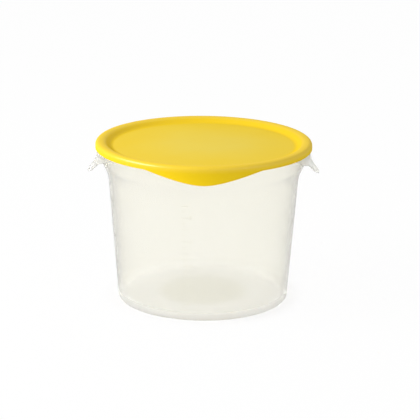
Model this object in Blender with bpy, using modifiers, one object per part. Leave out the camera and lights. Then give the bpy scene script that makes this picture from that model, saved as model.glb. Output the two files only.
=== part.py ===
"""Round food storage container: a tapered tub with two moulded handles and a press-fit lid.

Metres, +Z up, origin on the floor under the middle of the tub. The front is at -Y, the handles at +X and -X.
Each of the two mouldings is a turned profile, joined with the curved sheets that hang from its edge:
the handles under the tub's rim, and the lift tabs under the lid's skirt.
"""
import math

import bmesh
import bpy
from mathutils import Vector

# Tub
tub_height = 0.2291
base_radius = 0.1235
wall_lean_deg = 4.31
wall_thickness = 0.0024
outer_corner_radius = 0.0025
inner_corner_radius = 0.006

# Shoulder, where the wall flares out to the seat band under the rim
shoulder_below_rim = 0.0551
flare_radius = 0.052
flare_end_deg = 30.0
flare_return_radius = 0.014
seat_lean_deg = 2.0

# Floor of the tub
floor_thickness = 0.0026
floor_raise = 0.0015
floor_crown = 0.001
foot_ring_width = 0.012

# Rim
rim_width = 0.0068
rim_thickness = 0.0022
rim_lip_height = 0.006
rim_lip_thickness = 0.002

# Handles, each a curved sheet that hangs from the rim's lip and flares outwards
handle_reach = 0.0139
handle_thickness = 0.0028
handle_half_angle_deg = 33.0
handle_wing_drop = 0.0228
handle_wing_fullness = 0.7
handle_tongue_drop = 0.0138
handle_flare_power = 2.4
tongue_flat_deg = 4.0
tongue_end_deg = 15.0

# Lid
lid_wall = 0.002
lid_skirt_height = 0.0099
lid_recess_depth = 0.007
lid_recess_run = 0.010
lid_panel_crown = 0.0008
stacking_margin = 0.002
lid_lip_radius = 0.0056
plug_depth = 0.0115
plug_thickness = 0.0016

# Lift tabs of the lid
tab_drop = 0.0156
tab_half_angle_deg = 32.0
tab_tip_softness_deg = 8.4
tab_root_softness = 0.06
tab_reach = 0.0038
tab_flare_power = 2.0

# Fits
lid_seat_gap = 0.0003
skirt_clearance = 0.0005
plug_clearance = 0.0005
sheet_inset = 0.0002
sheet_bury = 0.0025

# Edge roundings
edge_radius = 0.0008
sheet_edge_radius = 0.0006
recess_top_radius = 0.014
recess_foot_radius = 0.010

# Facets
turn_steps = 96
fillet_step_deg = 22.5
fillet_share_of_edge = 0.45
fillet_share_beside_sharp = 0.9
flare_segments = 3
sheet_step_deg = 2.5
sheet_rows = 8
smooth_angle_deg = 32.0
sheet_edge_angle_deg = 60.0
merge_distance = 0.00001

# Finishes
tub_colour = (0.92, 0.91, 0.84)
tub_roughness = 0.35
tub_transmission = 0.4
lid_colour = (0.83, 0.62, 0.06)
lid_roughness = 0.4

wall_lean = math.radians(wall_lean_deg)
flare_end = math.radians(flare_end_deg)
seat_lean = math.radians(seat_lean_deg)

shoulder_height = tub_height - shoulder_below_rim
shoulder_radius = base_radius + shoulder_height * math.tan(wall_lean)
flare_top_height = shoulder_height + flare_radius * (math.sin(flare_end) - math.sin(wall_lean))
flare_top_radius = shoulder_radius + flare_radius * (math.cos(wall_lean) - math.cos(flare_end))
seat_height = flare_top_height + flare_return_radius * (math.sin(flare_end) - math.sin(seat_lean))
seat_radius = flare_top_radius + flare_return_radius * (math.cos(seat_lean) - math.cos(flare_end))

rim_underside = tub_height - rim_thickness
rim_inner_radius = seat_radius + (rim_underside - seat_height) * math.tan(seat_lean)
rim_radius = rim_inner_radius + rim_width
lip_bottom = tub_height - rim_lip_height
foot_inner_radius = base_radius - foot_ring_width
lid_lip_inner_radius = lid_lip_radius - lid_wall
rim_edge_radius = lid_lip_inner_radius - skirt_clearance
rim_root_radius = rim_edge_radius - rim_lip_thickness


def seat_band_radius(height):
    """Outer radius of the tub's wall in the band that the lid seats in."""
    return seat_radius + (height - seat_height) * math.tan(seat_lean)


def shoulder_outline():
    """Points up the outside of the flared shoulder, from the straight wall to the seat band."""
    points = []
    for step in range(flare_segments + 1):
        angle = wall_lean + (flare_end - wall_lean) * step / flare_segments
        radius = shoulder_radius + flare_radius * (math.cos(wall_lean) - math.cos(angle))
        height = shoulder_height + flare_radius * (math.sin(angle) - math.sin(wall_lean))
        points.append((radius, height))
    for step in range(1, flare_segments + 1):
        angle = flare_end + (seat_lean - flare_end) * step / flare_segments
        radius = flare_top_radius + flare_return_radius * (math.cos(angle) - math.cos(flare_end))
        height = flare_top_height + flare_return_radius * (math.sin(flare_end) - math.sin(angle))
        points.append((radius, height))
    return points


def rounded(corners):
    """Outline through corners given as (radius, height, fillet), with each fillet as an arc."""
    points = []
    last = len(corners) - 1
    for index, (radius, height, fillet) in enumerate(corners):
        corner = Vector((radius, height))
        if fillet == 0 or index in (0, last):
            points.append(corner)
            continue
        to_before = Vector(corners[index - 1][:2]) - corner
        to_after = Vector(corners[index + 1][:2]) - corner
        half_inside = to_before.angle(to_after) / 2
        longest_tangent = min(
            room * (fillet_share_of_edge if corners[neighbour][2] else fillet_share_beside_sharp)
            for neighbour, room in ((index - 1, to_before.length), (index + 1, to_after.length))
        )
        tangent = min(fillet / math.tan(half_inside), longest_tangent)
        to_before.normalize()
        to_after.normalize()
        bisector = (to_before + to_after).normalized()
        centre = corner + bisector * tangent / math.cos(half_inside)
        arc_start = corner + to_before * tangent - centre
        arc_end = corner + to_after * tangent - centre
        segments = max(1, round(math.degrees(arc_start.angle(arc_end)) / fillet_step_deg))
        for step in range(segments + 1):
            direction = arc_start.slerp(arc_end, step / segments)
            points.append(centre + direction * arc_start.length)
    return points


def collection_named(name):
    """New collection in the scene."""
    collection = bpy.data.collections.new(name)
    bpy.context.scene.collection.children.link(collection)
    return collection


def plastic(name, colour, roughness, transmission=0.0):
    """Moulded plastic, which lets light through where transmission is above 0."""
    material = bpy.data.materials.new(name)
    material.use_nodes = True
    shader = material.node_tree.nodes["Principled BSDF"]
    shader.inputs["Base Color"].default_value = (*colour, 1.0)
    shader.inputs["Roughness"].default_value = roughness
    shader.inputs["Metallic"].default_value = 0.0
    shader.inputs["Transmission Weight"].default_value = transmission
    return material


def turned(name, outline, collection):
    """Object with an outline of (radius, height) points turned about Z."""
    mesh = bpy.data.meshes.new(name)
    edges = [(index, index + 1) for index in range(len(outline) - 1)]
    mesh.from_pydata([(radius, 0, height) for radius, height in outline], edges, [])
    piece = bpy.data.objects.new(name, mesh)
    collection.objects.link(piece)
    screw = piece.modifiers.new("turn", 'SCREW')
    screw.axis = 'Z'
    screw.steps = turn_steps
    screw.render_steps = turn_steps
    screw.use_merge_vertices = True
    screw.merge_threshold = merge_distance
    return piece


def hanging_sheet(name, top_radius, top_height, thickness, half_angle_deg, drop_at, deepest, reach, flare_power,
                  facing_deg, collection):
    """Curved sheet that hangs from a round edge, flares outwards and ends in a shaped lower edge.

    drop_at gives how far the sheet hangs at an angle from its middle, in degrees.
    """
    columns = max(2, round(2 * half_angle_deg / sheet_step_deg))
    shape = bmesh.new()
    bmesh.ops.create_grid(shape, x_segments=columns, y_segments=sheet_rows, size=0.5)
    for vertex in shape.verts:
        angle_deg = 2 * half_angle_deg * vertex.co.x
        drop = drop_at(angle_deg)
        depth = (0.5 - vertex.co.y) * (drop + sheet_bury) - sheet_bury
        radius = top_radius + reach * (max(depth, 0.0) / deepest) ** flare_power
        angle = math.radians(facing_deg + angle_deg)
        vertex.co = (radius * math.cos(angle), radius * math.sin(angle), top_height - depth)
    mesh = bpy.data.meshes.new(name)
    shape.to_mesh(mesh)
    shape.free()
    piece = bpy.data.objects.new(name, mesh)
    piece.hide_render = True
    piece.display_type = 'WIRE'
    collection.objects.link(piece)
    wall = piece.modifiers.new("wall", 'SOLIDIFY')
    wall.thickness = thickness
    wall.offset = -1.0
    wall.use_even_offset = True
    rounding = piece.modifiers.new("rounding", 'BEVEL')
    rounding.width = sheet_edge_radius
    rounding.segments = 1
    rounding.limit_method = 'ANGLE'
    rounding.angle_limit = math.radians(sheet_edge_angle_deg)
    return piece


def joined(piece, sheets):
    """Joins the hanging sheets to a turned piece, and shades the result smooth."""
    for sheet in sheets:
        union = piece.modifiers.new(sheet.name, 'BOOLEAN')
        union.operation = 'UNION'
        union.solver = 'EXACT'
        union.object = sheet
    depsgraph = bpy.context.evaluated_depsgraph_get()
    finished = bpy.data.meshes.new_from_object(piece.evaluated_get(depsgraph))
    piece.modifiers.clear()
    piece.data = finished
    finished.shade_smooth()
    finished.set_sharp_from_angle(angle=math.radians(smooth_angle_deg))
    return piece


def tub_outline():
    """Profile of the tub, up its inside, over the rim and down its outside."""
    shoulder = shoulder_outline()
    inner_floor = floor_raise + floor_thickness
    inner_floor_radius = base_radius + inner_floor * math.tan(wall_lean) - wall_thickness
    inner_rim_radius = seat_band_radius(tub_height) - wall_thickness
    corners = [(0.0, inner_floor + floor_crown, 0), (inner_floor_radius, inner_floor, inner_corner_radius)]
    corners += [(radius - wall_thickness, height, 0) for radius, height in shoulder]
    corners += [
        (inner_rim_radius, tub_height, edge_radius),
        (rim_radius, tub_height, rim_edge_radius),
        (rim_radius, lip_bottom, 0),
        (rim_radius - rim_lip_thickness, lip_bottom, 0),
        (rim_radius - rim_lip_thickness, rim_underside, rim_root_radius),
        (rim_inner_radius, rim_underside, 0),
    ]
    corners += [(radius, height, 0) for radius, height in reversed(shoulder)]
    corners += [
        (base_radius, 0.0, outer_corner_radius),
        (foot_inner_radius, 0.0, 0),
        (foot_inner_radius - floor_raise, floor_raise, 0),
        (0.0, floor_raise + floor_crown, 0),
    ]
    return rounded(corners)


def handle_drop(angle_deg):
    """How far a handle hangs below the rim's lip: a rounded tongue between two sloping wings."""
    wing = max(math.cos(math.pi / 2 * angle_deg / handle_half_angle_deg), 0.0) ** handle_wing_fullness
    share = (abs(angle_deg) - tongue_flat_deg) / (tongue_end_deg - tongue_flat_deg)
    share = min(max(share, 0.0), 1.0)
    tongue = 1 - share * share * (3 - 2 * share)
    return handle_wing_drop * wing + handle_tongue_drop * tongue


def tab_drop_at(angle_deg):
    """How far a lift tab hangs below the lid's skirt: a wide V with a rounded tip and eased roots."""
    soft = tab_tip_softness_deg
    flank = math.hypot(angle_deg, soft) - soft
    share = 1 - flank / (math.hypot(tab_half_angle_deg, soft) - soft)
    share = max(share, 0.0)
    return tab_drop * share * share / (share + tab_root_softness) * (1 + tab_root_softness)


def lid_outline():
    """Profile of the lid, out over its top, down the skirt and back along its underside."""
    lip_top = lid_seat_gap + lid_wall
    panel_top = lip_top - lid_recess_depth
    skirt_inner_radius = rim_radius + skirt_clearance
    skirt_radius = skirt_inner_radius + lid_wall
    plug_bottom_band = seat_band_radius(tub_height - plug_depth)
    plug_radius = plug_bottom_band - wall_thickness - plug_clearance
    plug_inner_radius = plug_radius - plug_thickness
    panel_radius = plug_radius - lid_recess_run
    crown_radius = foot_inner_radius - stacking_margin
    slope = lid_recess_depth / lid_recess_run
    slope_wall = lid_wall * math.hypot(1.0, slope)
    under_slope_at_plug = panel_top + (plug_inner_radius - panel_radius) * slope - slope_wall
    panel_under_radius = panel_radius + (slope_wall - lid_wall) / slope
    corners = [
        (0.0, panel_top + lid_panel_crown, 0),
        (crown_radius, panel_top, 0),
        (panel_radius, panel_top, recess_foot_radius),
        (plug_radius, lip_top, recess_top_radius),
        (skirt_radius, lip_top, lid_lip_radius),
        (skirt_radius, lip_top - lid_skirt_height, 0),
        (skirt_inner_radius, lip_top - lid_skirt_height, 0),
        (skirt_inner_radius, lid_seat_gap, lid_lip_inner_radius),
        (plug_radius, lid_seat_gap, 0),
        (plug_radius, -plug_depth, 0),
        (plug_inner_radius, -plug_depth, 0),
        (plug_inner_radius, under_slope_at_plug, 0),
        (panel_under_radius, panel_top - lid_wall, recess_foot_radius + lid_wall),
        (crown_radius, panel_top - lid_wall, 0),
        (0.0, panel_top - lid_wall + lid_panel_crown, 0),
    ]
    return rounded(corners)


def build_container(parts, tools):
    """The tub, with its two handles."""
    container = turned("container", tub_outline(), parts)
    handles = []
    for side, facing_deg in (("right", 0), ("left", 180)):
        handles.append(hanging_sheet(
            f"{side}_handle_sheet",
            top_radius=rim_radius - sheet_inset,
            top_height=lip_bottom,
            thickness=handle_thickness,
            half_angle_deg=handle_half_angle_deg,
            drop_at=handle_drop,
            deepest=handle_wing_drop + handle_tongue_drop,
            reach=handle_reach + sheet_inset,
            flare_power=handle_flare_power,
            facing_deg=facing_deg,
            collection=tools,
        ))
    joined(container, handles)
    container.data.materials.append(plastic("milky_polypropylene", tub_colour, tub_roughness, tub_transmission))
    return container


def build_lid(parts, tools):
    """The lid, with its two lift tabs, seated on the tub's rim."""
    lid = turned("lid", lid_outline(), parts)
    tabs = []
    for side, facing_deg in (("front", -90), ("rear", 90)):
        tabs.append(hanging_sheet(
            f"{side}_tab_sheet",
            top_radius=rim_radius + skirt_clearance + lid_wall - sheet_inset,
            top_height=lid_seat_gap + lid_wall - lid_skirt_height,
            thickness=lid_wall - 2 * sheet_inset,
            half_angle_deg=tab_half_angle_deg,
            drop_at=tab_drop_at,
            deepest=tab_drop,
            reach=tab_reach,
            flare_power=tab_flare_power,
            facing_deg=facing_deg,
            collection=tools,
        ))
    joined(lid, tabs)
    lid.location = (0.0, 0.0, tub_height)
    lid.data.materials.append(plastic("yellow_polyethylene", lid_colour, lid_roughness))
    return lid


def main():
    """Clears the scene's objects and builds both mouldings."""
    for old in list(bpy.data.objects):
        bpy.data.objects.remove(old, do_unlink=True)
    parts = collection_named("round_food_storage_container")
    tools = collection_named("joining_shapes")
    build_container(parts, tools)
    build_lid(parts, tools)


main()
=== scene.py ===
"""Round food storage container with a press-fit lid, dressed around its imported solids.

Metres, +Z up, origin on the floor under the middle of the tub. The front is at -Y, the handles at +X and -X.
The tub and the lid are outlines turned about Z. Where a handle or a lift tab hangs, the hem of the outline
drops and flares outwards.
"""
import math

import bpy
from mathutils import Matrix, Vector


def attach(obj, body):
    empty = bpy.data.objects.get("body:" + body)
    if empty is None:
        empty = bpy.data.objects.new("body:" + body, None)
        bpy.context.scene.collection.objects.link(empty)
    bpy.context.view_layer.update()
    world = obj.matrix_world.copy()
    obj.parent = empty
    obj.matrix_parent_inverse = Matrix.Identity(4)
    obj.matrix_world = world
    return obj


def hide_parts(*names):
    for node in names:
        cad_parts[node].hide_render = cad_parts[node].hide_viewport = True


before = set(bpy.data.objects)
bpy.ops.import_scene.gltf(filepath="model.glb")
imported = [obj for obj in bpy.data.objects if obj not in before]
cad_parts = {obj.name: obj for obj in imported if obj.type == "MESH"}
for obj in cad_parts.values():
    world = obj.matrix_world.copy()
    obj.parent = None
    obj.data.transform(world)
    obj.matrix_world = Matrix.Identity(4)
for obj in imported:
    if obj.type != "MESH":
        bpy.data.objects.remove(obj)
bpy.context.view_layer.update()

# Tub
tub_height = 0.2291
base_radius = 0.1235
wall_lean = math.radians(4.31)
wall_thickness = 0.0024
outer_corner_radius = 0.0025
inner_corner_radius = 0.006

# Shoulder, where the wall flares out to the seat band under the rim
shoulder_below_rim = 0.0551
flare_radius = 0.052
flare_end = math.radians(30)
flare_return_radius = 0.014
seat_lean = math.radians(2)

# Floor of the tub
floor_thickness = 0.0026
floor_raise = 0.0015
floor_crown = 0.001
foot_ring_width = 0.012

# Rim
rim_width = 0.0068
rim_thickness = 0.0022
rim_lip_height = 0.006
rim_lip_thickness = 0.002

# Handles
handle_reach = 0.0136
handle_half_angle_deg = 33.0
handle_wing_drop = 0.0228
handle_wing_fullness = 0.7
handle_flare_power = 2.4
handle_tongue_drop = 0.0138
tongue_flat_deg = 4.0
tongue_end_deg = 15.0
handle_thickening = 0.0011
handle_thickening_depth = 0.012

# Lid
lid_wall = 0.002
lid_skirt_height = 0.0099
lid_recess_depth = 0.007
lid_recess_run = 0.010
lid_panel_crown = 0.0008
stacking_margin = 0.002
lid_lip_radius = 0.0056
plug_depth = 0.0115
plug_thickness = 0.0016

# Lift tabs
tab_drop = 0.0156
tab_half_angle_deg = 32.0
tab_tip_softness_deg = 8.4
tab_root_softness = 0.06
tab_reach = 0.0034
tab_flare_power = 2.0

# Graduations, in quarts, up the straight wall
quart_volume = 0.000946353
last_quart = 9
numbered_quarts = (2, 4, 6, 8)
graduation_facing = math.radians(-102.7)
mark_height = 0.0006
whole_mark_width = 0.009
half_mark_width = 0.005
mark_proud = 0.00025
mark_sunk = 0.00015
number_size = 0.0085
number_gap = 0.0015
number_curve_steps = 4

# Gate, the nub that the moulding leaves under the floor
gate_radius = 0.0035
gate_bottom = 0.0012

# Fits
lid_seat_gap = 0.0003
skirt_clearance = 0.0005
plug_clearance = 0.0005

# Roundings
edge_radius = 0.0008
hem_edge_radius = 0.0009
root_fillet_radius = 0.0006
recess_top_radius = 0.014
recess_foot_radius = 0.010
fillet_step_deg = 12.0
fillet_share_of_edge = 0.45
fillet_share_beside_sharp = 0.9
support_inset = 0.0004
support_run = 0.004

# Facets
turn_steps = 360
flare_segments = 8
hem_rows = 16
merge_distance = 0.000002

shoulder_height = tub_height - shoulder_below_rim
shoulder_radius = base_radius + shoulder_height * math.tan(wall_lean)
flare_top_height = shoulder_height + flare_radius * (math.sin(flare_end) - math.sin(wall_lean))
flare_top_radius = shoulder_radius + flare_radius * (math.cos(wall_lean) - math.cos(flare_end))
seat_height = flare_top_height + flare_return_radius * (math.sin(flare_end) - math.sin(seat_lean))
seat_radius = flare_top_radius + flare_return_radius * (math.cos(seat_lean) - math.cos(flare_end))
rim_underside = tub_height - rim_thickness
rim_inner_radius = seat_radius + (rim_underside - seat_height) * math.tan(seat_lean)
rim_radius = rim_inner_radius + rim_width
lip_bottom = tub_height - rim_lip_height
foot_inner_radius = base_radius - foot_ring_width
lid_lip_inner_radius = lid_lip_radius - lid_wall
rim_edge_radius = lid_lip_inner_radius - skirt_clearance
rim_root_radius = rim_edge_radius - rim_lip_thickness
lid_underside = tub_height + lid_seat_gap
lid_top = lid_underside + lid_wall
skirt_bottom = lid_top - lid_skirt_height


class Socket:
    """Output of a node. Python's operators on it add Math nodes to its tree."""

    def __init__(self, tree, output):
        self.tree = tree
        self.output = output

    def named(self, name):
        """Another output of the same node."""
        return Socket(self.tree, self.output.node.outputs[name])

    def __add__(self, other):
        return self.tree.maths('ADD', self, other)

    def __radd__(self, other):
        return self.tree.maths('ADD', other, self)

    def __sub__(self, other):
        return self.tree.maths('SUBTRACT', self, other)

    def __rsub__(self, other):
        return self.tree.maths('SUBTRACT', other, self)

    def __mul__(self, other):
        return self.tree.maths('MULTIPLY', self, other)

    def __rmul__(self, other):
        return self.tree.maths('MULTIPLY', other, self)

    def __truediv__(self, other):
        return self.tree.maths('DIVIDE', self, other)

    def __rtruediv__(self, other):
        return self.tree.maths('DIVIDE', other, self)

    def __pow__(self, other):
        return self.tree.maths('POWER', self, other)

    def __gt__(self, other):
        return self.tree.maths('GREATER_THAN', self, other)

    def __lt__(self, other):
        return self.tree.maths('LESS_THAN', self, other)

    def __abs__(self):
        return self.tree.maths('ABSOLUTE', self)


class Tree:
    """Node tree that one method fills."""

    def __init__(self, tree):
        self.tree = tree
        tree.nodes.clear()

    def add(self, kind, settings=None, values=None):
        """Adds a node, sets its settings and then its sockets, and gives its first output."""
        node = self.tree.nodes.new(kind)
        for name, setting in (settings or {}).items():
            setattr(node, name, setting)
        for key, value in (values or {}).items():
            socket = open_input(node, key)
            if isinstance(value, Socket):
                self.tree.links.new(value.output, socket)
            else:
                socket.default_value = value
        for output in node.outputs:
            if output.enabled:
                return Socket(self, output)
        return None

    def maths(self, operation, *values):
        """Math node on values or sockets."""
        return self.add("ShaderNodeMath", {"operation": operation}, dict(enumerate(values)))

    def smooth_step(self, value, start, end):
        """0 up to the start, 1 from the end on, and a smooth rise between them."""
        sockets = {"Value": value, "From Min": start, "From Max": end}
        return self.add("ShaderNodeMapRange", {"interpolation_type": 'SMOOTHSTEP'}, sockets)

    def parts(self, vector):
        """The three numbers of a vector."""
        x = self.add("ShaderNodeSeparateXYZ", values={"Vector": vector})
        return x, x.named("Y"), x.named("Z")


def open_input(node, key):
    """Input of a node by its place, or by its name among those in use."""
    if isinstance(key, int):
        return node.inputs[key]
    return next(socket for socket in node.inputs if socket.enabled and socket.name == key)


def shader_tree(name):
    """New material with an empty tree."""
    material = bpy.data.materials.new(name)
    material.use_nodes = True
    return material, Tree(material.node_tree)


def mixed(tree, factor, first, second):
    """Colour between two colours."""
    return tree.add("ShaderNodeMix", {"data_type": 'RGBA'}, {"Factor": factor, "A": first, "B": second})


def noise(tree, place, scale, detail):
    """Noise of about 0 to 1 over a place."""
    return tree.add("ShaderNodeTexNoise", values={"Vector": place, "Scale": scale, "Detail": detail})


def swing(pattern, amount):
    """Change of half an amount up and down, from a pattern of 0 to 1."""
    return amount * (pattern - 0.5)


def radius_at(tree, x, y):
    """Distance from the centre line."""
    return tree.maths('SQRT', x * x + y * y)


def stretched(tree, place, scale):
    """Place with its X, Y and Z scaled apart."""
    return tree.add("ShaderNodeMapping", values={"Vector": place, "Scale": scale})


# Plastic of the tub. Its index is low, because a thin milky wall scatters light more than it bends it
milky_colour = (0.985, 0.978, 0.925, 1.0)
milky_cloud_colour = (0.995, 0.988, 0.945, 1.0)
# Painted light: the floor is painted paler than the wall, so that it shows brighter through the wall
tub_floor_colour = (1.0, 0.998, 0.97, 1.0)
# Painted shade: the middle of the floor is painted darker, as the shadow under the tub seen through the wall
painted_floor_shade_colour = (0.937, 0.932, 0.868, 1.0)
handle_colour = (0.95, 0.945, 0.91, 1.0)
milky_index = 1.19
milky_transmission = 0.96
milky_roughness = 0.247
flow_roughness = 0.06
milky_grain_roughness = 0.04
foot_edge_roughness = 0.55
handle_roughness = 0.50
milky_cloud_scale = 14.0
flow_stretch = (60.0, 60.0, 7.0)
milky_grain_scale = 900.0
milky_swell_scale = 26.0
milky_swell_relief = 0.25
milky_grain_relief = 0.04
milky_bump_strength = 0.25

# Where the tub's plastic or its painted light and shade change, each pair from none to all
tub_floor_height = 0.006
painted_floor_shade_radii = (0.075, 0.050)
foot_edge_heights = (0.012, 0.004)
foot_edge_radii = (0.110, 0.119)
handle_radii = (rim_inner_radius + 0.001, rim_inner_radius + 0.003)

# Plastic of the lid. A thin coat of high index gives the gloss, so that it doesn't whiten at grazing angles
yellow_colour = (0.895, 0.605, 0.003, 1.0)
yellow_cloud_colour = (0.925, 0.643, 0.006, 1.0)
# Painted sheen: the panel is painted paler, as the white surroundings reflecting off it
painted_sheen_colour = (0.86, 0.69, 0.115, 1.0)
painted_sheen_everywhere = 0.1
painted_sheen_on_middle = 0.3
painted_sheen_in_patches = 0.4
yellow_index = 1.5
gloss = 0.05
gloss_on_top = 0.07
gloss_on_lip = 0.13
gloss_index = 3.0
gloss_roughness = 0.36
yellow_roughness = 0.46
yellow_cloud_roughness = 0.10
yellow_grain_roughness = 0.10
yellow_cloud_scale = 18.0
painted_sheen_patch_scale = 11.0
yellow_grain_scale = 700.0
yellow_swell_scale = 15.0
yellow_swell_relief = 0.5
yellow_grain_relief = 0.06
yellow_bump_strength = 0.3

# Where the lid's plastic, its gloss or its painted sheen changes, each pair from none to all
panel_radii = (0.133, 0.127)
panel_slack = 0.0005
middle_radii = (0.115, 0.03)
lip_radii = (0.1385, 0.1425)
lip_heights = (lid_top - 0.0075, lid_top - 0.003)
top_heights = (lid_top - 0.0100, lid_top - 0.0072)

bump_distance = 0.0006


def bumped(tree, relief, strength):
    """Normal of a surface with a relief of 0 to 1."""
    sockets = {"Strength": strength, "Distance": bump_distance, "Height": relief}
    return tree.add("ShaderNodeBump", values=sockets)


def milky_polypropylene():
    """See-through milky plastic of the tub, with painted light and shade on its floor."""
    material, tree = shader_tree("milky_polypropylene")
    place = tree.add("ShaderNodeTexCoord").named("Object")
    x, y, z = tree.parts(place)
    radius = radius_at(tree, x, y)
    cloud = noise(tree, place, milky_cloud_scale, 3.0)
    flow = noise(tree, stretched(tree, place, flow_stretch), 1.0, 3.0)
    grain = noise(tree, place, milky_grain_scale, 2.0)
    swell = noise(tree, place, milky_swell_scale, 1.0)
    on_floor = z < tub_floor_height
    # Painted shade on the middle of the floor, as the shadow under the tub
    painted_floor_shade = on_floor * tree.smooth_step(radius, *painted_floor_shade_radii)
    on_foot_edge = tree.smooth_step(z, *foot_edge_heights) * tree.smooth_step(radius, *foot_edge_radii)
    on_handle = tree.smooth_step(radius, *handle_radii)
    colour = mixed(tree, cloud, milky_colour, milky_cloud_colour)
    # Painted light on the floor, and painted shade on its middle
    colour = mixed(tree, on_floor, colour, tub_floor_colour)
    colour = mixed(tree, painted_floor_shade, colour, painted_floor_shade_colour)
    colour = mixed(tree, on_handle, colour, handle_colour)
    roughness = milky_roughness + swing(flow, flow_roughness) + swing(grain, milky_grain_roughness)
    roughness = roughness + foot_edge_roughness * on_foot_edge + handle_roughness * on_handle
    relief = milky_swell_relief * swell + milky_grain_relief * grain
    shader = tree.add("ShaderNodeBsdfPrincipled", values={
        "Base Color": colour,
        "Roughness": roughness,
        "IOR": milky_index,
        "Transmission Weight": milky_transmission,
        "Normal": bumped(tree, relief, milky_bump_strength),
    })
    tree.add("ShaderNodeOutputMaterial", values={"Surface": shader})
    return material


def yellow_polyethylene():
    """Coloured plastic of the lid, with a fine moulded grain and a panel painted paler, as a painted sheen
    of the white surroundings.
    """
    material, tree = shader_tree("yellow_polyethylene")
    place = tree.add("ShaderNodeTexCoord").named("Object")
    x, y, z = tree.parts(place)
    radius = radius_at(tree, x, y)
    cloud = noise(tree, place, yellow_cloud_scale, 3.0)
    patches = noise(tree, place, painted_sheen_patch_scale, 2.0)
    grain = noise(tree, place, yellow_grain_scale, 2.0)
    swell = noise(tree, place, yellow_swell_scale, 1.0)
    on_panel = tree.smooth_step(radius, *panel_radii) * (z > lid_top - lid_recess_depth - panel_slack)
    on_middle = tree.smooth_step(radius, *middle_radii)
    on_lip = tree.smooth_step(radius, *lip_radii) * tree.smooth_step(z, *lip_heights)
    on_top = tree.smooth_step(z, *top_heights)
    # Painted sheen on the panel, stronger in the middle and in random patches
    painted_sheen = on_panel * (painted_sheen_everywhere + painted_sheen_on_middle * on_middle + painted_sheen_in_patches * patches)
    colour = mixed(tree, cloud, yellow_colour, yellow_cloud_colour)
    colour = mixed(tree, painted_sheen, colour, painted_sheen_colour)
    roughness = yellow_roughness + swing(cloud, yellow_cloud_roughness)
    roughness = roughness + swing(grain, yellow_grain_roughness)
    relief = yellow_swell_relief * swell + yellow_grain_relief * grain
    shader = tree.add("ShaderNodeBsdfPrincipled", values={
        "Base Color": colour,
        "Roughness": roughness,
        "IOR": yellow_index,
        "Specular IOR Level": 0.0,
        "Coat Weight": gloss + gloss_on_top * on_top + gloss_on_lip * on_lip,
        "Coat IOR": gloss_index,
        "Coat Roughness": gloss_roughness,
        "Normal": bumped(tree, relief, yellow_bump_strength),
    })
    tree.add("ShaderNodeOutputMaterial", values={"Surface": shader})
    return material


def seat_band_radius(height):
    """Outer radius of the tub's wall in the band that the lid seats in."""
    return seat_radius + (height - seat_height) * math.tan(seat_lean)


def shoulder_outline():
    """Points up the outside of the flared shoulder, from the straight wall to the seat band."""
    points = []
    for step in range(flare_segments + 1):
        angle = wall_lean + (flare_end - wall_lean) * step / flare_segments
        radius = shoulder_radius + flare_radius * (math.cos(wall_lean) - math.cos(angle))
        height = shoulder_height + flare_radius * (math.sin(angle) - math.sin(wall_lean))
        points.append((radius, height))
    for step in range(1, flare_segments + 1):
        angle = flare_end + (seat_lean - flare_end) * step / flare_segments
        radius = flare_top_radius + flare_return_radius * (math.cos(angle) - math.cos(flare_end))
        height = flare_top_height + flare_return_radius * (math.sin(flare_end) - math.sin(angle))
        points.append((radius, height))
    return points


def corner(radius, height, fillet=0.0, hang=0.0, inner=0.0):
    """Corner of an outline: how far it hangs with the hem, and if it is on the hem's inner face."""
    return Vector((radius, height)), fillet, (hang, inner)


def rounded(corners):
    """Points (radius, height, hang, inner) along corners, with fillets as arcs."""
    points = []
    last = len(corners) - 1
    for index, (place, fillet, hem) in enumerate(corners):
        if fillet == 0 or index in (0, last):
            points.append((*place, *hem))
            continue
        to_before = corners[index - 1][0] - place
        to_after = corners[index + 1][0] - place
        half_inside = to_before.angle(to_after) / 2
        longest_tangent = min(
            room * (fillet_share_of_edge if corners[neighbour][1] else fillet_share_beside_sharp)
            for neighbour, room in ((index - 1, to_before.length), (index + 1, to_after.length))
        )
        tangent = min(fillet / math.tan(half_inside), longest_tangent)
        to_before.normalize()
        to_after.normalize()
        centre = place + (to_before + to_after).normalized() * tangent / math.cos(half_inside)
        arc_start = place + to_before * tangent - centre
        arc_end = place + to_after * tangent - centre
        segments = max(2, round(math.degrees(arc_start.angle(arc_end)) / fillet_step_deg))
        for step in range(segments + 1):
            direction = arc_start.slerp(arc_end, step / segments)
            points.append((*(centre + direction * arc_start.length), *hem))
    return points


def supported(points):
    """Adds a point near each end of a long straight run, so that it stays flat in smooth shading."""
    result = [points[0]]
    for before, after in zip(points, points[1:]):
        run = math.dist(before[:2], after[:2])
        if run > support_run:
            for share in (support_inset / run, 1 - support_inset / run):
                result.append(tuple(a + (b - a) * share for a, b in zip(before, after)))
        result.append(after)
    return result


def hem(outer_radius, inner_radius, outer_top, bottom, inner_top):
    """Corners down the outer face of a hem, round its lower edge and up its inner face."""
    corners = []
    for row in range(1, hem_rows):
        share = row / hem_rows
        corners.append(corner(outer_radius, outer_top + (bottom - outer_top) * share, 0, share, 0))
    corners.append(corner(outer_radius, bottom, hem_edge_radius, 1, 0))
    corners.append(corner(inner_radius, bottom, hem_edge_radius, 1, 1))
    for row in range(hem_rows - 1, 0, -1):
        share = row / hem_rows
        corners.append(corner(inner_radius, inner_top + (bottom - inner_top) * share, 0, share, 1))
    return corners


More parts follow.
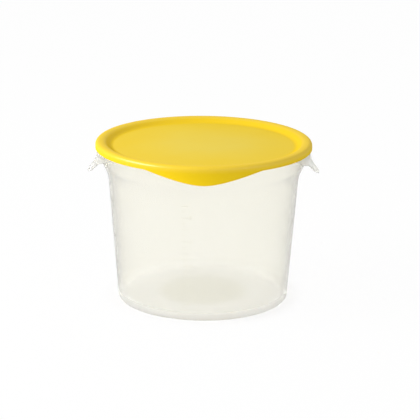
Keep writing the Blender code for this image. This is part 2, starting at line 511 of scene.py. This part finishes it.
def tub_outline():
    """Outline of the tub, up its inside, over the rim and down its outside."""
    shoulder = shoulder_outline()
    inner_floor = floor_raise + floor_thickness
    inner_floor_radius = base_radius + inner_floor * math.tan(wall_lean) - wall_thickness
    inner_rim_radius = seat_band_radius(tub_height) - wall_thickness
    corners = [
        corner(0.0, inner_floor + floor_crown),
        corner(inner_floor_radius, inner_floor, inner_corner_radius),
    ]
    corners += [corner(radius - wall_thickness, height) for radius, height in shoulder]
    corners += [
        corner(inner_rim_radius, tub_height, edge_radius),
        corner(rim_radius, tub_height, rim_edge_radius),
    ]
    corners += hem(rim_radius, rim_radius - rim_lip_thickness, tub_height - rim_edge_radius - support_inset,
                   lip_bottom, rim_underside - rim_root_radius - support_inset)
    corners += [
        corner(rim_radius - rim_lip_thickness, rim_underside, rim_root_radius),
        corner(rim_inner_radius, rim_underside, root_fillet_radius),
    ]
    corners += [corner(radius, height) for radius, height in reversed(shoulder)]
    corners += [
        corner(base_radius, 0.0, outer_corner_radius),
        corner(foot_inner_radius, 0.0, root_fillet_radius),
        corner(foot_inner_radius - floor_raise, floor_raise, root_fillet_radius),
        corner(gate_radius, floor_raise + floor_crown),
        corner(gate_radius, gate_bottom, root_fillet_radius),
        corner(0.0, gate_bottom),
    ]
    return supported(rounded(corners))


def lid_outline():
    """Outline of the lid, out over its top, down the skirt and back along its underside."""
    panel_top = lid_top - lid_recess_depth
    skirt_inner_radius = rim_radius + skirt_clearance
    skirt_radius = skirt_inner_radius + lid_wall
    plug_bottom = tub_height - plug_depth
    plug_radius = seat_band_radius(plug_bottom) - wall_thickness - plug_clearance
    plug_inner_radius = plug_radius - plug_thickness
    panel_radius = plug_radius - lid_recess_run
    crown_radius = foot_inner_radius - stacking_margin
    slope = lid_recess_depth / lid_recess_run
    slope_wall = lid_wall * math.hypot(1.0, slope)
    under_slope_at_plug = panel_top + (plug_inner_radius - panel_radius) * slope - slope_wall
    panel_under_radius = panel_radius + (slope_wall - lid_wall) / slope
    corners = [
        corner(0.0, panel_top + lid_panel_crown),
        corner(crown_radius, panel_top, recess_foot_radius),
        corner(panel_radius, panel_top, recess_foot_radius),
        corner(plug_radius, lid_top, recess_top_radius),
        corner(skirt_radius, lid_top, lid_lip_radius),
    ]
    corners += hem(skirt_radius, skirt_inner_radius, lid_top - lid_lip_radius - support_inset, skirt_bottom,
                   lid_underside - lid_lip_inner_radius - support_inset)
    corners += [
        corner(skirt_inner_radius, lid_underside, lid_lip_inner_radius),
        corner(plug_radius, lid_underside, root_fillet_radius),
        corner(plug_radius, plug_bottom, root_fillet_radius),
        corner(plug_inner_radius, plug_bottom, root_fillet_radius),
        corner(plug_inner_radius, under_slope_at_plug, root_fillet_radius),
        corner(panel_under_radius, panel_top - lid_wall, recess_foot_radius + lid_wall),
        corner(crown_radius, panel_top - lid_wall),
        corner(0.0, panel_top - lid_wall + lid_panel_crown),
    ]
    return supported(rounded(corners))


def handle_drop(tree, away, given):
    """How far a handle hangs, away degrees from its middle: a rounded tongue between two sloping wings."""
    wing = tree.maths('COSINE', tree.maths('RADIANS', 90.0 * away / given["Half angle"]))
    wing = tree.maths('MAXIMUM', wing, 0.0) ** given["Wing fullness"]
    tongue = 1 - tree.smooth_step(away, given["Tongue flat"], given["Tongue end"])
    return given["Wing drop"] * wing + given["Tongue drop"] * tongue


def tab_drop_at(tree, away, given):
    """How far a lift tab hangs, away degrees from its middle: a wide V with a round tip and eased roots."""
    soft = given["Tip softness"]
    half = given["Half angle"]
    flank = tree.maths('SQRT', away * away + soft * soft) - soft
    share = 1 - flank / (tree.maths('SQRT', half * half + soft * soft) - soft)
    share = tree.maths('MAXIMUM', share, 0.0)
    root = given["Root softness"]
    return given["Drop"] * share * share / (share + root) * (1 + root)


def turning_tree(name, drop_rule, sizes):
    """Geometry Nodes tree that turns an outline about Z, with a hem that hangs by a rule on two sides."""
    group = bpy.data.node_groups.new(name, 'GeometryNodeTree')
    tree = Tree(group)
    group.interface.new_socket("Outline", in_out='INPUT', socket_type='NodeSocketGeometry')
    group.interface.new_socket("Shell", in_out='OUTPUT', socket_type='NodeSocketGeometry')
    group.interface.new_socket("Steps", in_out='INPUT', socket_type='NodeSocketInt')
    for size in sizes:
        group.interface.new_socket(size, in_out='INPUT', socket_type='NodeSocketFloat')
    group.interface.new_socket("Material", in_out='INPUT', socket_type='NodeSocketMaterial')
    outline = tree.add("NodeGroupInput")
    steps = outline.named("Steps")
    given = {size: outline.named(size) for size in sizes}

    point_count = tree.add("GeometryNodeAttributeDomainSize", {"component": 'MESH'}, {"Geometry": outline})
    columns = steps + 1
    grid = tree.add("GeometryNodeMeshGrid", values={"Vertices X": point_count, "Vertices Y": columns})
    index = tree.add("GeometryNodeInputIndex")
    row = tree.maths('FLOOR', (index + 0.5) / columns)
    column = index - row * columns
    angle_deg = column * 360.0 / steps

    place = tree.add("GeometryNodeSampleIndex", {"data_type": 'FLOAT_VECTOR'},
                     {"Geometry": outline, "Value": tree.add("GeometryNodeInputPosition"), "Index": row})
    hem_values = []
    for attribute in ("hang", "inner"):
        value = tree.add("GeometryNodeInputNamedAttribute", {"data_type": 'FLOAT'}, {"Name": attribute})
        hem_values.append(tree.add("GeometryNodeSampleIndex", {"data_type": 'FLOAT'},
                                   {"Geometry": outline, "Value": value, "Index": row}))
    hang, inner = hem_values
    radius, _, height = tree.parts(place)

    away = abs(tree.maths('WRAP', angle_deg - given["Facing"], 90.0, -90.0))
    height = height - hang * drop_rule(tree, away, given)
    depth = tree.maths('MAXIMUM', given["Hem height"] - height, 0.0) * (hang > 0.0)
    flare = given["Reach"] * (depth / given["Deepest"]) ** given["Flare power"]
    thickening = given["Thickening"] * inner * tree.smooth_step(depth, 0.0, given["Thickening depth"])
    radius = radius + flare - thickening
    angle = tree.maths('RADIANS', angle_deg)
    position = tree.add("ShaderNodeCombineXYZ", values={
        "X": radius * tree.maths('COSINE', angle),
        "Y": radius * tree.maths('SINE', angle),
        "Z": height,
    })
    shell = tree.add("GeometryNodeSetPosition", values={"Geometry": grid, "Position": position})
    shell = tree.add("GeometryNodeMergeByDistance", values={"Geometry": shell, "Distance": merge_distance})
    shell = tree.add("GeometryNodeSetShadeSmooth", values={"Geometry": shell})
    shell = tree.add("GeometryNodeRealizeInstances", values={"Geometry": shell})
    finish = outline.named("Material")
    shell = tree.add("GeometryNodeSetMaterial", values={"Geometry": shell, "Material": finish})
    tree.add("NodeGroupOutput", values={"Shell": shell})
    return group


def with_tree(piece, group, inputs):
    """Runs a Geometry Nodes tree on a piece, and leaves the piece a plain mesh."""
    modifier = piece.modifiers.new(group.name, 'NODES')
    modifier.node_group = group
    for item in group.interface.items_tree:
        if item.name in inputs:
            modifier[item.identifier] = inputs[item.name]
    depsgraph = bpy.context.evaluated_depsgraph_get()
    finished = bpy.data.meshes.new_from_object(piece.evaluated_get(depsgraph))
    piece.modifiers.clear()
    piece.data = finished
    return piece


def turned_piece(name, outline, group, inputs):
    """Piece turned from an outline of (radius, height, hang, inner) points."""
    mesh = bpy.data.meshes.new(name)
    edges = [(index, index + 1) for index in range(len(outline) - 1)]
    mesh.from_pydata([(radius, 0.0, height) for radius, height, *_ in outline], edges, [])
    for place, attribute in ((2, "hang"), (3, "inner")):
        values = mesh.attributes.new(attribute, 'FLOAT', 'POINT')
        values.data.foreach_set("value", [point[place] for point in outline])
    piece = bpy.data.objects.new(name, mesh)
    bpy.context.scene.collection.objects.link(piece)
    return with_tree(piece, group, inputs)


def filled_height(quarts):
    """Height that a number of quarts fills the tub to."""
    lean = math.tan(wall_lean)
    floor_top = floor_raise + floor_thickness
    floor_radius = base_radius + floor_top * lean - wall_thickness
    filled_radius = (floor_radius ** 3 + 3 * lean * quarts * quart_volume / math.pi) ** (1 / 3)
    return floor_top + (filled_radius - floor_radius) / lean


def on_wall(along, height, proud):
    """Place on the straight wall, so far along it from where the graduations start."""
    radius = base_radius + height * math.tan(wall_lean)
    angle = graduation_facing + along / radius
    return Vector(((radius + proud) * math.cos(angle), (radius + proud) * math.sin(angle), height))


def marks_tree():
    """Geometry Nodes tree that puts a flat bar on the wall at each point."""
    group = bpy.data.node_groups.new("graduation_marks", 'GeometryNodeTree')
    tree = Tree(group)
    group.interface.new_socket("Points", in_out='INPUT', socket_type='NodeSocketGeometry')
    group.interface.new_socket("Marks", in_out='OUTPUT', socket_type='NodeSocketGeometry')
    for size in ("Depth", "Height", "Lean"):
        group.interface.new_socket(size, in_out='INPUT', socket_type='NodeSocketFloat')
    group.interface.new_socket("Material", in_out='INPUT', socket_type='NodeSocketMaterial')
    points = tree.add("NodeGroupInput")
    x, y, _ = tree.parts(tree.add("GeometryNodeInputPosition"))
    width = tree.add("GeometryNodeInputNamedAttribute", {"data_type": 'FLOAT'}, {"Name": "width"})
    facing = tree.maths('ARCTAN2', y, x)
    turn = tree.add("ShaderNodeCombineXYZ", values={"Y": points.named("Lean"), "Z": facing})
    size = tree.add("ShaderNodeCombineXYZ", values={
        "X": points.named("Depth"),
        "Y": width,
        "Z": points.named("Height"),
    })
    bar = tree.add("GeometryNodeMeshCube", values={"Size": (1.0, 1.0, 1.0)})
    marks = tree.add("GeometryNodeInstanceOnPoints", values={
        "Points": points,
        "Instance": bar,
        "Rotation": turn,
        "Scale": size,
    })
    marks = tree.add("GeometryNodeRealizeInstances", values={"Geometry": marks})
    finish = points.named("Material")
    marks = tree.add("GeometryNodeSetMaterial", values={"Geometry": marks, "Material": finish})
    tree.add("NodeGroupOutput", values={"Marks": marks})
    return group


def build_graduations(material):
    """Raised bars at each half quart up the wall, and plain numbers beside some of them."""
    places = []
    widths = []
    for half_quarts in range(2, 2 * last_quart + 1):
        width = half_mark_width if half_quarts % 2 else whole_mark_width
        places.append(on_wall(width / 2, filled_height(half_quarts / 2), (mark_proud - mark_sunk) / 2))
        widths.append(width)
    mesh = bpy.data.meshes.new("graduation_marks")
    mesh.from_pydata(places, [], [])
    mesh.attributes.new("width", 'FLOAT', 'POINT').data.foreach_set("value", widths)
    marks = bpy.data.objects.new("graduation_marks", mesh)
    bpy.context.scene.collection.objects.link(marks)
    sizes = {"Depth": mark_proud + mark_sunk, "Height": mark_height, "Lean": wall_lean, "Material": material}
    pieces = [with_tree(marks, marks_tree(), sizes)]
    for quarts in numbered_quarts:
        pieces.append(number_on_wall(quarts, material))
    for piece in pieces:
        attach(piece, "tub")


def number_on_wall(quarts, material):
    """Plain raised number beside a whole quart's mark."""
    name = f"graduation_number_{quarts}"
    text = bpy.data.curves.new(name, 'FONT')
    text.body = str(quarts)
    text.size = number_size
    text.align_y = 'CENTER'
    text.extrude = (mark_proud + mark_sunk) / 2
    text.resolution_u = number_curve_steps
    writing = bpy.data.objects.new(name, text)
    bpy.context.scene.collection.objects.link(writing)
    depsgraph = bpy.context.evaluated_depsgraph_get()
    mesh = bpy.data.meshes.new_from_object(writing.evaluated_get(depsgraph))
    bpy.data.objects.remove(writing)
    middle = filled_height(quarts)
    for vertex in mesh.vertices:
        along, up, out = vertex.co
        proud = out + (mark_proud - mark_sunk) / 2
        vertex.co = on_wall(whole_mark_width + number_gap + along, middle + up, proud)
    mesh.materials.clear()
    mesh.materials.append(material)
    number = bpy.data.objects.new(name, mesh)
    bpy.context.scene.collection.objects.link(number)
    return number


def build_tub(material):
    """The tub, with its handles."""
    sizes = {
        "Half angle": handle_half_angle_deg,
        "Wing drop": handle_wing_drop,
        "Wing fullness": handle_wing_fullness,
        "Tongue drop": handle_tongue_drop,
        "Tongue flat": tongue_flat_deg,
        "Tongue end": tongue_end_deg,
        "Facing": 0.0,
        "Hem height": lip_bottom,
        "Deepest": handle_wing_drop + handle_tongue_drop,
        "Reach": handle_reach,
        "Flare power": handle_flare_power,
        "Thickening": handle_thickening,
        "Thickening depth": handle_thickening_depth,
    }
    group = turning_tree("turned_tub", handle_drop, sizes)
    inputs = {**sizes, "Steps": turn_steps, "Material": material}
    tub = turned_piece("milky_tub", tub_outline(), group, inputs)
    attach(tub, "tub")
    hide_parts("container")


def build_lid(material):
    """The lid, with its lift tabs."""
    sizes = {
        "Half angle": tab_half_angle_deg,
        "Drop": tab_drop,
        "Tip softness": tab_tip_softness_deg,
        "Root softness": tab_root_softness,
        "Facing": 90.0,
        "Hem height": skirt_bottom,
        "Deepest": tab_drop,
        "Reach": tab_reach,
        "Flare power": tab_flare_power,
        "Thickening": 0.0,
        "Thickening depth": handle_thickening_depth,
    }
    group = turning_tree("turned_lid", tab_drop_at, sizes)
    inputs = {**sizes, "Steps": turn_steps, "Material": material}
    lid = turned_piece("yellow_lid", lid_outline(), group, inputs)
    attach(lid, "lid")
    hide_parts("lid")


# Camera, as fitted to the photograph's ellipses and edges
camera_place = Vector((0.0, -2.295, 0.799))
camera_pitch = math.radians(16.34)
camera_roll = math.radians(0.55)
camera_turn = math.radians(0.2436)
camera_lens = 141.15
camera_sensor_width = 36.0


def build_camera():
    """Camera at the photograph's viewing angle."""
    camera = bpy.data.cameras.new("camera")
    camera.lens = camera_lens
    camera.sensor_width = camera_sensor_width
    holder = bpy.data.objects.new("camera", camera)
    turn = Matrix.Rotation(-camera_turn, 4, 'Z')
    pitch = Matrix.Rotation(math.radians(90) - camera_pitch, 4, 'X')
    roll = Matrix.Rotation(camera_roll, 4, 'Z')
    holder.matrix_world = Matrix.Translation(camera_place) @ turn @ pitch @ roll
    bpy.context.scene.collection.objects.link(holder)
    bpy.context.scene.camera = holder


# Surroundings
white = (1.0, 1.0, 1.0, 1.0)
lighting_strength = 0.55
backdrop_strength = 1.0
floor_half_width = 8.0
floor_colour = (0.92, 0.92, 0.92, 1.0)
floor_whiteness = 0.97
foot_shade = 0.12
foot_shade_inner_radii = (0.118, 0.123)
foot_shade_outer_radii = (0.150, 0.126)
lamp_target = Vector((0.0, 0.0, 0.12))
key_lamp_place = Vector((-1.9, -0.47, 1.4))
key_lamp_size = (1.5, 0.6)
key_lamp_watts = 41.0
fill_lamp_place = Vector((1.6, -1.6, 1.0))
fill_lamp_size = (1.6, 1.6)
fill_lamp_watts = 4.0


def lamp(name, place, size, watts):
    """Large soft lamp that faces the object."""
    light = bpy.data.lights.new(name, 'AREA')
    light.shape = 'RECTANGLE'
    light.size, light.size_y = size
    light.energy = watts
    holder = bpy.data.objects.new(name, light)
    facing = lamp_target - place
    holder.rotation_euler = facing.to_track_quat('-Z', 'Y').to_euler()
    holder.location = place
    bpy.context.scene.collection.objects.link(holder)


def seen_directly(tree):
    """1 on rays from the camera, in a reflection or through the plastic, otherwise 0."""
    path = tree.add("ShaderNodeLightPath")
    seen = tree.maths('MAXIMUM', path.named("Is Camera Ray"), path.named("Is Glossy Ray"))
    return tree.maths('MAXIMUM', seen, path.named("Is Transmission Ray"))


def build_surroundings():
    """White world, pale floor and soft lamps."""
    world = bpy.data.worlds.new("studio")
    world.use_nodes = True
    bpy.context.scene.world = world
    tree = Tree(world.node_tree)
    lighting = tree.add("ShaderNodeBackground", values={"Color": white, "Strength": lighting_strength})
    backdrop = tree.add("ShaderNodeBackground", values={"Color": white, "Strength": backdrop_strength})
    shown = tree.add("ShaderNodeMixShader", values={0: seen_directly(tree), 1: lighting, 2: backdrop})
    tree.add("ShaderNodeOutputWorld", values={"Surface": shown})

    material, tree = shader_tree("pale_floor")
    matt = tree.add("ShaderNodeBsdfDiffuse", values={"Color": floor_colour})
    glow = tree.add("ShaderNodeEmission", values={"Color": white, "Strength": backdrop_strength})
    x, y, _ = tree.parts(tree.add("ShaderNodeTexCoord").named("Object"))
    radius = radius_at(tree, x, y)
    past_foot = tree.smooth_step(radius, *foot_shade_inner_radii)
    by_foot = past_foot * tree.smooth_step(radius, *foot_shade_outer_radii)
    share = seen_directly(tree) * (floor_whiteness - foot_shade * by_foot)
    shown = tree.add("ShaderNodeMixShader", values={0: share, 1: matt, 2: glow})
    tree.add("ShaderNodeOutputMaterial", values={"Surface": shown})
    half = floor_half_width
    mesh = bpy.data.meshes.new("floor")
    mesh.from_pydata([(-half, -half, 0.0), (half, -half, 0.0), (half, half, 0.0), (-half, half, 0.0)], [],
                     [(0, 1, 2, 3)])
    mesh.materials.append(material)
    floor = bpy.data.objects.new("floor", mesh)
    bpy.context.scene.collection.objects.link(floor)

    lamp("key_lamp", key_lamp_place, key_lamp_size, key_lamp_watts)
    lamp("fill_lamp", fill_lamp_place, fill_lamp_size, fill_lamp_watts)


build_camera()
build_surroundings()
milky = milky_polypropylene()
build_tub(milky)
build_graduations(milky)
build_lid(yellow_polyethylene())

bpy.context.scene.view_settings.view_transform = 'Standard'
